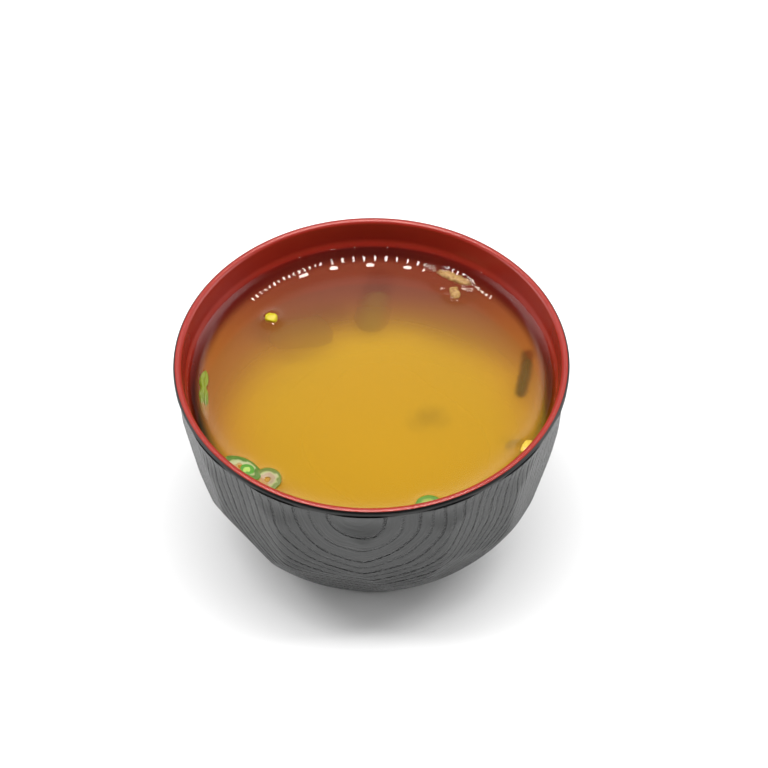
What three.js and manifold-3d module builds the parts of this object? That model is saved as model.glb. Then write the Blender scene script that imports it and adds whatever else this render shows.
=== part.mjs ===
// A small Japanese soup bowl, cut outside with flat facets and filled with miso soup.
//
// Millimetres, +Z up. The origin is the centre of the foot ring's underside, -Y is the front.
// The bowl is one solid. The soup is one solid up to its level, with the curved edge that a
// liquid has where it wets a wall, and every floating piece is a solid of its own, which the
// soup is cut round.

import * as THREE from 'three';
import { mergeVertices } from 'three/addons/utils/BufferGeometryUtils.js';
import Module from 'manifold-3d';

const wasm = await Module();
wasm.setup();

// Driving dimensions

const HEIGHT = 71;
const RIM_RADIUS = 57.5;
const LIP_WIDTH = 2.4;
const LIP_ROUNDING = 1;
const BAND_HEIGHT = 2.4;
const BAND_INSET = 0.45;
const BAND_STEP = 0.25;

const FOOT_RADIUS = 31;
const FOOT_HEIGHT = 6.2;
const FOOT_RING_WIDTH = 3.6;
const FOOT_RECESS = 4.6;
const FOOT_BEVEL = 0.5;
const FOOT_DRAFT = 0.6;
const FLOOR_THICKNESS = 3.4;

const SOUP_LEVEL = 58.8;
const MENISCUS_RISE = 3.3;
const MENISCUS_REACH = 2.4;
const GAP = 0.3;
const LEAF_LIFT = 0.35;

// How finely round forms are stepped.
const ROUND_STEPS = 82;
const SOUP_STEPS = 48;
const SLICE_STEPS = 20;
const SECTION_STEPS = 8;
const EDGE_STEPS = 3;
const LUMP_STEPS = [14, 9];
const LEAF_STEPS = [12, 16];

const TURN = 2 * Math.PI;

// The flat cuts: a tall one every 1/14 turn, and seven low ones, cut by eye as if by hand.
// A cut's azimuth is in degrees from the front towards +X.
const TALL_CUTS = Array.from({ length: 14 }, (_, i) => (
  { azimuth: 9.67 + (360 * i) / 14, apothem: 52.5, atHeight: 40, slope: 0.155 }
));
const LOW_CUTS = [
  { azimuth: -12.2, apothem: 45.75, atHeight: 20, slope: 0.403 },
  { azimuth: 31.5, apothem: 46.3, atHeight: 20, slope: 0.367 },
  { azimuth: 87.7, apothem: 44.9, atHeight: 20, slope: 0.32 },
  { azimuth: 142.6, apothem: 44.6, atHeight: 20, slope: 0.43 },
  { azimuth: -162.5, apothem: 45.2, atHeight: 20, slope: 0.41 },
  { azimuth: -107.6, apothem: 44.6, atHeight: 20, slope: 0.44 },
  { azimuth: -52.8, apothem: 44.9, atHeight: 20, slope: 0.459 },
];
const CUTTER = { depth: 30, width: 80, length: 160 };

// Half-sections as [radius, height]. The outside runs from the foot to the rim.
const OUTSIDE = [
  [33.6, 6.4], [37.5, 10], [40.8, 14], [45.8, 20], [49.5, 26], [52.2, 32], [54.2, 38],
  [55.3, 44], [56.0, 50], [56.2, 61], [56.6, 65],
];

// The inside runs from the lip down to the middle of the floor, over a soft shoulder.
const INSIDE = [
  [54.9, 68], [54.65, 65.2], [54.45, 63.4], [53.9, 62.2], [53.45, 60.9], [53.1, 58.8],
  [52.2, 53], [50.9, 46.5], [49.1, 40], [46.7, 33.5], [43.4, 27], [39.0, 21], [33.2, 16],
  [25.6, 12.2], [15.6, 9.4],
];

// Helpers

// A closed three.js geometry as a manifold solid.
function toSolid(geometry) {
  const bare = geometry.clone();
  bare.deleteAttribute('normal');
  bare.deleteAttribute('uv');
  const merged = mergeVertices(bare, 1e-4);
  return new wasm.Manifold(new wasm.Mesh({
    numProp: 3,
    vertProperties: merged.attributes.position.array,
    triVerts: merged.index.array,
  }));
}

// A manifold solid as a three.js geometry.
function toGeometry(solid) {
  const { vertProperties, triVerts } = solid.getMesh();
  const geometry = new THREE.BufferGeometry();
  geometry.setAttribute('position', new THREE.BufferAttribute(vertProperties, 3));
  geometry.setIndex(new THREE.BufferAttribute(triVerts, 1));
  geometry.computeVertexNormals();
  return geometry;
}

// A solid of revolution about Z from [radius, height] pairs.
function revolve(profile, steps) {
  const points = profile.map(([radius, height]) => new THREE.Vector2(radius, height));
  return new THREE.LatheGeometry(points, steps).rotateX(Math.PI / 2);
}

// The radius of a half-section at a height, by straight lines between its points.
function radiusAt(profile, height) {
  const rising = [...profile].sort((a, b) => a[1] - b[1]);
  const above = Math.max(rising.findIndex((point) => point[1] >= height), 1);
  const [r0, z0] = rising[above - 1];
  const [r1, z1] = rising[above];
  return r0 + ((r1 - r0) * (height - z0)) / (z1 - z0);
}

// Points on a quarter of a round edge, from one angle to another.
function roundEdge(radius, height, across, up, from, to) {
  return Array.from({ length: EDGE_STEPS + 1 }, (_, i) => {
    const angle = THREE.MathUtils.lerp(from, to, i / EDGE_STEPS);
    return [radius + across * Math.cos(angle), height + up * Math.sin(angle)];
  });
}

// The soup's surface height at a radius: flat, and rising to the wall.
function soupHeight(radius) {
  const toWall = SOUP_EDGE - radius;
  return SOUP_LEVEL + MENISCUS_RISE * Math.exp(-toWall / MENISCUS_REACH);
}

// A point of the soup's surface. The angle runs from the front towards +X.
function onSoup(radius, angleDegrees, lift = 0) {
  const angle = THREE.MathUtils.degToRad(angleDegrees);
  return new THREE.Vector3(
    radius * Math.sin(angle), -radius * Math.cos(angle), soupHeight(radius) + lift,
  );
}

// Turns a piece made at the origin, tilted first, and moves it to its place.
function place(geometry, { turn = 0, tilt = 0, at }) {
  geometry.rotateX(THREE.MathUtils.degToRad(tilt));
  geometry.rotateZ(THREE.MathUtils.degToRad(turn));
  return geometry.translate(at.x, at.y, at.z);
}

function mesh(name, geometry, color, roughness) {
  const result = new THREE.Mesh(
    geometry, new THREE.MeshStandardMaterial({ color, roughness, metalness: 0 }),
  );
  result.name = name;
  return result;
}

// The bowl

// A block whose inner face is one flat cut, leaning out by slope for each mm of height.
function cutBlock({ azimuth, apothem, atHeight, slope }) {
  const block = new THREE.BoxGeometry(CUTTER.depth, CUTTER.width, CUTTER.length);
  block.translate(CUTTER.depth / 2, 0, 0);
  block.rotateY(Math.atan(slope));
  block.translate(apothem, 0, atHeight);
  return block.rotateZ(THREE.MathUtils.degToRad(azimuth) - TURN / 4);
}

// The wall below the rim band, round first and then cut flat all round.
function facetedWall() {
  const top = HEIGHT - BAND_HEIGHT;
  const bottom = OUTSIDE[0][1];
  const brow = RIM_RADIUS - 0.1;
  const round = toSolid(revolve([[0, bottom], ...OUTSIDE, [brow, top], [0, top]], ROUND_STEPS));
  return [...TALL_CUTS, ...LOW_CUTS].reduce(
    (wall, cut) => wall.subtract(toSolid(cutBlock(cut))), round,
  );
}

// The round lip with the smooth band under it, which is set in a little from both.
function rimBand() {
  const lip = LIP_WIDTH / 2;
  const shoulder = HEIGHT - LIP_ROUNDING;
  const crown = roundEdge(RIM_RADIUS - lip, shoulder, lip, LIP_ROUNDING, 0, TURN / 4);
  const band = RIM_RADIUS - BAND_INSET;
  const bottom = HEIGHT - BAND_HEIGHT - LIP_ROUNDING;
  return revolve([
    [0, bottom], [band, bottom], [band, shoulder - BAND_STEP], ...crown, [0, HEIGHT],
  ], ROUND_STEPS);
}

// A foot ring that stands on its edge, open underneath.
function footRing() {
  const inside = FOOT_RADIUS - FOOT_RING_WIDTH;
  const joined = OUTSIDE[0][1] + 0.2;
  return revolve([
    [0, FOOT_RECESS], [inside - 1, FOOT_RECESS], [inside, FOOT_BEVEL], [inside + FOOT_BEVEL, 0],
    [FOOT_RADIUS - FOOT_BEVEL, 0], [FOOT_RADIUS, FOOT_BEVEL],
    [FOOT_RADIUS - FOOT_DRAFT, FOOT_HEIGHT - 1], [FOOT_RADIUS + FOOT_DRAFT, joined], [0, joined],
  ], ROUND_STEPS);
}

// What the bowl holds: its inside, open at the top.
function inside() {
  const lip = LIP_WIDTH / 2;
  const middle = RIM_RADIUS - lip;
  const rolled = roundEdge(middle, HEIGHT - LIP_ROUNDING, -lip, LIP_ROUNDING, 0, TURN / 4);
  const above = HEIGHT + 2;
  const floor = [0, FOOT_RECESS + FLOOR_THICKNESS];
  return revolve([
    floor, ...[...INSIDE].reverse(), ...rolled, [middle, above], [0, above],
  ], ROUND_STEPS);
}

function bowl() {
  const shell = facetedWall().add(toSolid(rimBand())).add(toSolid(footRing()));
  return toGeometry(shell.subtract(toSolid(inside())));
}

// The floating pieces. Each maker takes what it grows by, so that the same form, a gap
// larger, cuts the soup.

// A lump between an ellipsoid (power 2) and a block (a high power).
function lump({ size, power, ...placing }, grow) {
  const geometry = new THREE.SphereGeometry(1, ...LUMP_STEPS);
  const points = geometry.attributes.position;
  const half = new THREE.Vector3(...size.map((full) => full / 2 + grow));
  const point = new THREE.Vector3();
  for (let i = 0; i < points.count; i += 1) {
    point.fromBufferAttribute(points, i);
    const sum = point.toArray().reduce((total, part) => total + Math.abs(part) ** power, 0);
    point.divideScalar(sum ** (1 / power)).multiply(half);
    points.setXYZ(i, point.x, point.y, point.z);
  }
  return place(geometry, placing);
}

// A slice of a hollow stalk: a ring with round edges, oval when the stalk was cut aslant.
function stalkSlice({ outer, wall, height, stretch = 1, ...placing }, grow) {
  const squareness = 0.6;
  const middle = outer - wall / 2;
  const across = wall / 2 + grow;
  const up = height / 2 + grow;
  const section = Array.from({ length: SECTION_STEPS + 1 }, (_, i) => {
    const angle = (TURN * i) / SECTION_STEPS;
    const square = 1 / Math.max(Math.abs(Math.cos(angle)), Math.abs(Math.sin(angle)));
    const reach = THREE.MathUtils.lerp(1, square, squareness);
    return [middle + across * reach * Math.cos(angle), up * reach * Math.sin(angle)];
  });
  return place(revolve(section, SLICE_STEPS).scale(stretch, 1, 1), placing);
}

// A piece of leaf along the wall, pinched in the middle, with a tail that dips under.
function leafPiece({ radius, from, to, width, thickness, dip, pinch, taper }, grow) {
  const geometry = new THREE.SphereGeometry(1, ...LEAF_STEPS);
  const points = geometry.attributes.position;
  const growAngle = THREE.MathUtils.radToDeg(grow / radius);
  for (let i = 0; i < points.count; i += 1) {
    const along = (1 - points.getY(i)) / 2;
    const waist = 1 - pinch.depth * Math.exp(-(((along - pinch.at) / pinch.width) ** 2));
    const blunt = Math.sqrt(Math.max(0, 1 - (2 * along - 1) ** 4));
    const body = blunt * waist * (1 - taper * along ** 3);
    const round = Math.hypot(points.getX(i), points.getZ(i)) || 1;
    const inward = (points.getX(i) / round) * ((width / 2) * body + grow);
    const up = (points.getZ(i) / round) * ((thickness / 2) * body + grow);
    const angle = THREE.MathUtils.lerp(from - growAngle, to + growAngle, along);
    const sunk = dip * THREE.MathUtils.smoothstep(along, 0.45, 1);
    const middle = onSoup(radius - inward, angle);
    points.setXYZ(i, middle.x, middle.y, soupHeight(radius) + LEAF_LIFT - sunk + up);
  }
  return geometry;
}

const SOUP_EDGE = radiusAt(INSIDE, SOUP_LEVEL + MENISCUS_RISE) - GAP;

const PALE_GREEN = 0xb9cf8e;
const LEAF_GREEN = 0x5f9a22;
const DEEP_GREEN = 0x4c8a10;
const LEMON = 0xe5d119;
const CORN = 0xf0d860;
const FRIED = 0xc79f66;

const FLOATING = [
  {
    name: 'scallion_slice_oblique', color: PALE_GREEN, make: stalkSlice,
    outer: 2.7, wall: 0.85, height: 2.2, stretch: 1.75, turn: -38, tilt: -6,
    at: onSoup(48.4, -50.3, 0.25),
  },
  {
    name: 'scallion_curl', color: LEAF_GREEN, make: stalkSlice,
    outer: 1.3, wall: 0.6, height: 1.9, stretch: 1.1, turn: -38,
    at: onSoup(48.0, -48.5, 0.35),
  },
  {
    name: 'scallion_ring_left', color: PALE_GREEN, make: stalkSlice,
    outer: 3.0, wall: 1.15, height: 2.3, stretch: 1.05, turn: -55, tilt: 5,
    at: onSoup(46.3, -40.5, 0.3),
  },
  {
    name: 'scallion_ring_front', color: DEEP_GREEN, make: stalkSlice,
    outer: 2.8, wall: 1.1, height: 2.0, stretch: 1.05, turn: 12,
    at: onSoup(48.0, 19.1, 0.2),
  },
  {
    name: 'scallion_leaf', color: LEAF_GREEN, make: leafPiece,
    radius: 49.2, from: -97, to: -76, width: 2.9, thickness: 1.3, dip: 2.6,
    pinch: { depth: 0.4, at: 0.36, width: 0.07 }, taper: 0.45,
  },
  {
    name: 'yellow_bit_left', color: LEMON, make: lump,
    size: [3.7, 3.0, 1.9], power: 3.4, turn: -14, tilt: 6, at: onSoup(40.3, -132.5, 0.25),
  },
  {
    name: 'yellow_bit_right', color: CORN, make: lump,
    size: [5.0, 3.0, 1.8], power: 2.6, turn: 60, tilt: 4, at: onSoup(51.0, 60.7, 0.3),
  },
  {
    name: 'fried_tofu_sliver', color: FRIED, make: lump,
    size: [10.5, 2.8, 1.8], power: 2.8, turn: -30, at: onSoup(49.6, 149.5, -0.1),
  },
  {
    name: 'fried_tofu_bit', color: FRIED, make: lump,
    size: [2.9, 4.6, 1.8], power: 2.8, turn: 14, at: onSoup(44.6, 145.4, 0.1),
  },
];

// The soup

// The liquid, from the wall's contact line over the meniscus to the middle and down the wall.
function liquid() {
  const wall = INSIDE.filter(([, height]) => height < SOUP_LEVEL + MENISCUS_RISE)
    .map(([radius, height]) => [radius - GAP, height]).reverse();
  const floor = [0, FOOT_RECESS + FLOOR_THICKNESS + GAP];
  const distancesToWall = [0, 0.6, 1.5, 3, 6];
  const surface = distancesToWall.map((toWall) => {
    const radius = SOUP_EDGE - toWall;
    return [radius, soupHeight(radius)];
  });
  return revolve([floor, ...wall, ...surface, [0, SOUP_LEVEL]], SOUP_STEPS);
}

function soup() {
  const cut = FLOATING.reduce(
    (rest, piece) => rest.subtract(toSolid(piece.make(piece, GAP))), toSolid(liquid()),
  );
  return toGeometry(cut);
}

// Assembly

const group = new THREE.Group();
group.add(mesh('bowl', bowl(), 0x4b4e4d, 0.45));
group.add(mesh('soup', soup(), 0xd8a234, 0.08));
for (const piece of FLOATING) {
  group.add(mesh(piece.name, piece.make(piece, 0), piece.color, 0.4));
}

export default group;
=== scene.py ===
"""A faceted Japanese soup bowl, black wood-grain lacquer outside and red inside, with miso soup.

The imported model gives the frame: the bowl's box, the soup and every floating piece keep the
places that it has. Sizes are in millimetres here and turned to metres where meshes are made.
"""

import logging
import math
from collections.abc import Callable, Iterable, Sequence
from dataclasses import dataclass
from enum import Enum
from functools import partial

import bpy
from mathutils import Matrix, Vector, noise
from mathutils.geometry import intersect_point_line


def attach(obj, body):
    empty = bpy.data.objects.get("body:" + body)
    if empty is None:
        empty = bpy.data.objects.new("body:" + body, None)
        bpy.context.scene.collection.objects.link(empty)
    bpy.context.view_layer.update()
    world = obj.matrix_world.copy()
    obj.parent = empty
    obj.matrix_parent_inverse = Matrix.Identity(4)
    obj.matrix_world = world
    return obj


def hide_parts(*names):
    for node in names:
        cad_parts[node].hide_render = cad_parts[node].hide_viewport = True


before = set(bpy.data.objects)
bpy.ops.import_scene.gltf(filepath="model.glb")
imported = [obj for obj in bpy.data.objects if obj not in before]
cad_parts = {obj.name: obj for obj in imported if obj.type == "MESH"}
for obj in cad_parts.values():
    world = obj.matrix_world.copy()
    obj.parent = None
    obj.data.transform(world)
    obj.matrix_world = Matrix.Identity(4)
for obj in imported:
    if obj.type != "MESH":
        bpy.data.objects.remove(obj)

MM = 0.001
TURN = 2.0 * math.pi
BODY = "root"
LOG = logging.getLogger("miso_soup")

NODE_PREFIXES = ("ShaderNode", "GeometryNode", "Node")
MAIN_CHOICES = {
    "Math": "operation", "VectorMath": "operation", "MapRange": "interpolation_type", "Mix": "data_type",
    "InputNamedAttribute": "data_type", "StoreNamedAttribute": "domain",
}
# Its inputs are the value, what it runs from and to, and what it becomes there.
FADE = "MapRange:SMOOTHSTEP"
# A vector times this has no height left.
FLAT = (1.0, 1.0, 0.0)
# Where the miso lies thickest, in front of the bowl's middle and a little to its right. It sits this far
# forward partly as painted shade, leaving the back of the soup darker.
CLOUD_MIDDLE = (3.0, -17.0)

Point = tuple[float, float, float]
Ring = tuple[float, float]
Stops = tuple[tuple[float, str], ...]
Shape = tuple[list[Point], list[list[int]]]
Socket = bpy.types.NodeSocket
Adder = Callable[..., Socket]


class Region(Enum):
    """The parts of the bowl's skin that are finished alike, in the order of its material slots."""

    GRAIN = 0
    SMOOTH = 1
    RED = 2


# Helpers


def hex_colour(code: str) -> tuple[float, float, float, float]:
    """Turns an sRGB hex code to linear colour.

    Args:
        code: Six hex digits.

    Returns:
        Linear red, green and blue, and an alpha of 1.
    """
    parts = [int(code[i:i + 2], 16) / 255 for i in (0, 2, 4)]
    linear = [p / 12.92 if p <= 0.04045 else ((p + 0.055) / 1.055) ** 2.4 for p in parts]
    return (*linear, 1.0)


def add_node(
    tree: bpy.types.NodeTree, kind: str, inputs: Sequence | dict = (), take: int | str = 0, **settings
) -> Socket | None:
    """Adds one node to a tree, with its settings and links.

    Args:
        tree: The material's, world's or geometry's node tree.
        kind: The node's type without its prefix, and after a colon its operation or other main choice.
        inputs: A socket to link or a value to set for each input, in order, or by name or number.
        take: The output to give back, by name or number.
        settings: The node's other properties.

    Returns:
        That output, or None for a node that has none.
    """
    kind, _, choice = kind.partition(":")
    prefix = next(start for start in NODE_PREFIXES if hasattr(bpy.types, start + kind))
    node = tree.nodes.new(prefix + kind)
    if choice:
        settings[MAIN_CHOICES[kind]] = choice
    for name, value in settings.items():
        setattr(node, name, value)
    for key, value in inputs.items() if isinstance(inputs, dict) else enumerate(inputs):
        if isinstance(value, Socket):
            tree.links.new(value, node.inputs[key])
        else:
            node.inputs[key].default_value = value
    return node.outputs[take] if len(node.outputs) else None


def colour_stops(ramp: Socket, stops: Stops) -> Socket:
    """Sets a colour ramp's stops.

    Args:
        ramp: The Color Ramp node's output.
        stops: Position and sRGB hex code of each stop.

    Returns:
        The same output.
    """
    elements = ramp.node.color_ramp.elements
    while len(elements) < len(stops):
        elements.new(0.5)
    for element, (position, code) in zip(elements, stops):
        element.position = position
        element.color = hex_colour(code)
    return ramp


def smoothstep(low: float, high: float, value: float) -> float:
    """Rises smoothly from 0 at low to 1 at high."""
    share = min(max((value - low) / (high - low), 0.0), 1.0)
    return share * share * (3.0 - 2.0 * share)


def evenly(start: float, end: float, steps: int) -> list[float]:
    """Gives the ends of a range and what lies between them in even steps."""
    return [start + (end - start) * (k / steps) for k in range(steps + 1)]


def polar(radius: float, azimuth: float, height: float = 0.0) -> Point:
    """Gives the point at a distance from the axis and at radians from the front."""
    return (radius * math.sin(azimuth), -radius * math.cos(azimuth), height)


def new_piece(
    name: str, vertices: Sequence[Point], faces: Sequence[Sequence[int]], edges: Sequence[Sequence[int]] = ()
) -> bpy.types.Object:
    """Makes a mesh object from points in millimetres.

    Args:
        name: The object's name.
        vertices: Points in millimetres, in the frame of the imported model.
        faces: Vertex numbers of each face, anticlockwise from outside.
        edges: Vertex numbers of each edge that is in no face.

    Returns:
        The object, linked to the scene, with smooth shading.
    """
    mesh = bpy.data.meshes.new(name)
    mesh.from_pydata([(x * MM, y * MM, z * MM) for x, y, z in vertices], edges, faces)
    mesh.shade_smooth()
    piece = bpy.data.objects.new(name, mesh)
    bpy.context.scene.collection.objects.link(piece)
    return piece


def mark(piece: bpy.types.Object, name: str, values: Sequence[float]) -> None:
    """Stores a number for each of a piece's points."""
    piece.data.attributes.new(name, "FLOAT", "POINT").data.foreach_set("value", values)


def lathe(
    rings: Sequence[Ring], steps: int, place: Callable[[float, float, float], Point] = polar
) -> Shape:
    """Turns a half-section about Z.

    Args:
        rings: Radius and height of each ring, from the outside's bottom round to the axis. A first or
            last radius of 0 is a pole.
        steps: Steps round the turn.
        place: Gives a point's place from its radius, azimuth and height.

    Returns:
        Vertices in millimetres and faces.
    """
    vertices: list[Point] = []
    faces: list[list[int]] = []
    starts: list[tuple[int, int]] = []
    for radius, height in rings:
        count = 1 if radius == 0 else steps
        starts.append((len(vertices), count))
        vertices.extend(place(radius, TURN * k / steps, height) for k in range(count))
    for (low, low_count), (high, high_count) in zip(starts, starts[1:]):
        for k in range(steps):
            after = (k + 1) % steps
            if low_count == 1:
                faces.append([low, high + after, high + k])
            elif high_count == 1:
                faces.append([low + k, low + after, high])
            else:
                faces.append([low + k, low + after, high + after, high + k])
    return vertices, faces


def merge(shapes: Iterable[Shape]) -> Shape:
    """Puts the points and faces of several shapes into one.

    Args:
        shapes: The shapes, in order.

    Returns:
        All vertices and faces.
    """
    vertices: list[Point] = []
    faces: list[list[int]] = []
    for points, sides in shapes:
        start = len(vertices)
        vertices.extend(points)
        faces.extend([start + k for k in side] for side in sides)
    return vertices, faces


def settle(piece: bpy.types.Object) -> None:
    """Turns what a piece's modifiers give into its own plain mesh, and removes them."""
    bpy.context.view_layer.update()
    graph = bpy.context.evaluated_depsgraph_get()
    mesh = bpy.data.meshes.new_from_object(piece.evaluated_get(graph))
    piece.modifiers.clear()
    piece.data = mesh


def hand_over(
    piece: bpy.types.Object, stands_for: str = "", finish: bpy.types.Material | None = None
) -> bpy.types.Object:
    """Hides the CAD node that a piece replaces, gives it its material and attaches it to the root body, once
    its mesh is done.

    Args:
        piece: The piece.
        stands_for: The CAD node that it replaces, if any.
        finish: Its material, unless it has it already.

    Returns:
        The piece.
    """
    if finish:
        piece.data.materials.append(finish)
    if stands_for:
        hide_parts(stands_for)
    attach(piece, BODY)
    return piece


def new_tree(
    name: str, numbers: Sequence[str], counts: Sequence[str] = ()
) -> tuple[bpy.types.NodeTree, Adder, bpy.types.NodeOutputs]:
    """Starts a Geometry Nodes tree, which takes a geometry and a material.

    Args:
        name: The tree's name.
        numbers: Its inputs that are numbers.
        counts: Its inputs that are whole numbers.

    Returns:
        The tree, what adds a node to it, and what it is given.
    """
    tree = bpy.data.node_groups.new(name, "GeometryNodeTree")
    kinds = {"Geometry": "Geometry", "Material": "Material"}
    kinds |= dict.fromkeys(numbers, "Float") | dict.fromkeys(counts, "Int")
    for socket, kind in kinds.items():
        tree.interface.new_socket(socket, in_out="INPUT", socket_type=f"NodeSocket{kind}")
    tree.interface.new_socket("Geometry", in_out="OUTPUT", socket_type="NodeSocketGeometry")
    add = partial(add_node, tree)
    return tree, add, add("GroupInput").node.outputs


def end_tree(add: Adder, material: Socket, geometry: Socket, selection: Socket | bool = True) -> None:
    """Ends a tree in real geometry that wears its material.

    Args:
        add: Adds a node to the tree.
        material: The material.
        geometry: What the tree made.
        selection: Which faces wear it.
    """
    real = add("RealizeInstances", (geometry,))
    add("GroupOutput", {
        "Geometry": add("SetMaterial", {"Geometry": real, "Selection": selection, "Material": material}),
    })


def add_wobble(
    add: Adder, geometry: Socket, seed: Socket, fineness: float, detail: float, swing: Socket | Point
) -> Socket:
    """Moves a geometry's points unevenly.

    Args:
        add: Adds a node to the tree.
        geometry: What is moved.
        seed: Which unevenness it gets.
        fineness: Bumps along a metre.
        detail: How many finer bumps lie in them.
        swing: How far the points move, all in all.

    Returns:
        The moved geometry.
    """
    scaled = add("VectorMath:SCALE", {0: add("InputPosition"), "Scale": fineness})
    spot = add("VectorMath:ADD", (scaled, add("CombineXYZ", {"Z": seed})))
    drift = add("TexNoise", {"Vector": spot, "Scale": 1.0, "Detail": detail}, "Color")
    centred = add("VectorMath:SUBTRACT", (drift, (0.5, 0.5, 0.5)))
    moved = add("VectorMath:MULTIPLY", (centred, swing))
    return add("SetPosition", {"Geometry": geometry, "Offset": moved})


def run_tree(piece: bpy.types.Object, tree: bpy.types.NodeTree, values: dict) -> None:
    """Adds a Geometry Nodes modifier with its named inputs set.

    Args:
        piece: The object that gets the modifier.
        tree: The node tree.
        values: A value for each of the tree's inputs but the geometry, by name.
    """
    modifier = piece.modifiers.new(tree.name, "NODES")
    modifier.node_group = tree
    for item in tree.interface.items_tree:
        if item.item_type == "SOCKET" and item.in_out == "INPUT" and item.name in values:
            modifier[item.identifier] = values[item.name]


# Finishes


@dataclass(frozen=True)
class Finish:
    """What every finish holds: a name for its real material, and how its nodes start and end."""

    name: str

    def make(self) -> bpy.types.Material:
        """Builds the material.

        Returns:
            The material.
        """
        material = bpy.data.materials.new(self.name)
        material.use_nodes = True
        material.node_tree.nodes.clear()
        add = partial(add_node, material.node_tree)
        place = add("VectorMath:SCALE", {0: add("TexCoord", take="Object"), "Scale": 1.0 / MM})
        add("OutputMaterial", {"Surface": self.shader(add, place)})
        return material

    def shader(self, add: Adder, place: Socket) -> Socket:
        """Adds the finish's own nodes.

        Args:
            add: Adds a node to the material's tree.
            place: The point's place in millimetres.

        Returns:
            The shader.
        """
        raise NotImplementedError

    def two_tones(
        self, add: Adder, place: Socket, size: float, detail: float, tones: Sequence[str]
    ) -> Socket:
        """Drifts between two colours.

        Args:
            add: Adds a node to the material's tree.
            place: The point's place in millimetres.
            size: How far apart the patches are, in millimetres.
            detail: How many finer patches lie in them.
            tones: The two sRGB hex codes.

        Returns:
            The colour.
        """
        drift = add("TexNoise", {"Vector": place, "Scale": 1.0 / size, "Detail": detail})
        return add("Mix:RGBA", {0: drift, 6: hex_colour(tones[0]), 7: hex_colour(tones[1])}, 2)


@dataclass(frozen=True)
class Lacquer(Finish):
    """What the bowl's lacquers have in common: a coat of urethane, sprayed over moulded resin."""

    roughness: float
    shine: float
    ior: float = 1.5

    def coat(
        self, add: Adder, colour: Socket | tuple, roughness: Socket | float, relief: Socket, depth: float,
        strength: float = 1.0,
    ) -> Socket:
        """Makes the coat's shader.

        Args:
            add: Adds a node to the material's tree.
            colour: Its colour.
            roughness: Its roughness.
            relief: Its low relief.
            depth: How deep a relief of 1 is, in millimetres.
            strength: How much of the relief shows.

        Returns:
            The shader.
        """
        bump = add("Bump", {"Height": relief, "Distance": depth * MM, "Strength": strength})
        return add("BsdfPrincipled", {
            "Base Color": colour, "Roughness": roughness, "IOR": self.ior, "Specular IOR Level": self.shine,
            "Normal": bump,
        })


@dataclass(frozen=True)
class RedLacquer(Lacquer):
    """Sprayed red urethane lacquer over moulded resin: glossy, with a faint orange-peel ripple."""

    name: str = "sprayed_red_urethane_lacquer"
    roughness: float = 0.26
    shine: float = 0.44
    colour: str = "871E14"
    deep: str = "7B1B12"
    mottle_mm: float = 14.0
    peel_mm: float = 1.6
    peel_depth: float = 0.02

    def shader(self, add: Adder, place: Socket) -> Socket:
        """Adds the mottled red and its ripple.

        Args:
            add: Adds a node to the material's tree.
            place: The point's place in millimetres.

        Returns:
            The shader.
        """
        colour = self.two_tones(add, place, self.mottle_mm, 3.0, (self.deep, self.colour))
        peel = add("TexNoise", {"Vector": place, "Scale": 1.0 / self.peel_mm, "Detail": 1.0})
        return self.coat(add, colour, self.roughness, peel, self.peel_depth, 0.5)


@dataclass(frozen=True)
class SmoothLacquer(Lacquer):
    """Satin black lacquer on the plain band under the lip and on the foot."""

    name: str = "satin_black_lacquer"
    roughness: float = 0.3
    shine: float = 0.28
    colour: str = "0A0B0A"
    uneven: float = 0.05
    grit_mm: float = 0.9
    grit_depth: float = 0.012

    def shader(self, add: Adder, place: Socket) -> Socket:
        """Adds the black and its grit.

        Args:
            add: Adds a node to the material's tree.
            place: The point's place in millimetres.

        Returns:
            The shader.
        """
        grit = add("TexNoise", {"Vector": place, "Scale": 1.0 / self.grit_mm, "Detail": 2.0})
        ends = (self.roughness - self.uneven, self.roughness + self.uneven)
        roughness = add("MapRange", (grit, 0.0, 1.0, *ends))
        return self.coat(add, hex_colour(self.colour), roughness, grit, self.grit_depth, 0.6)


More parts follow.
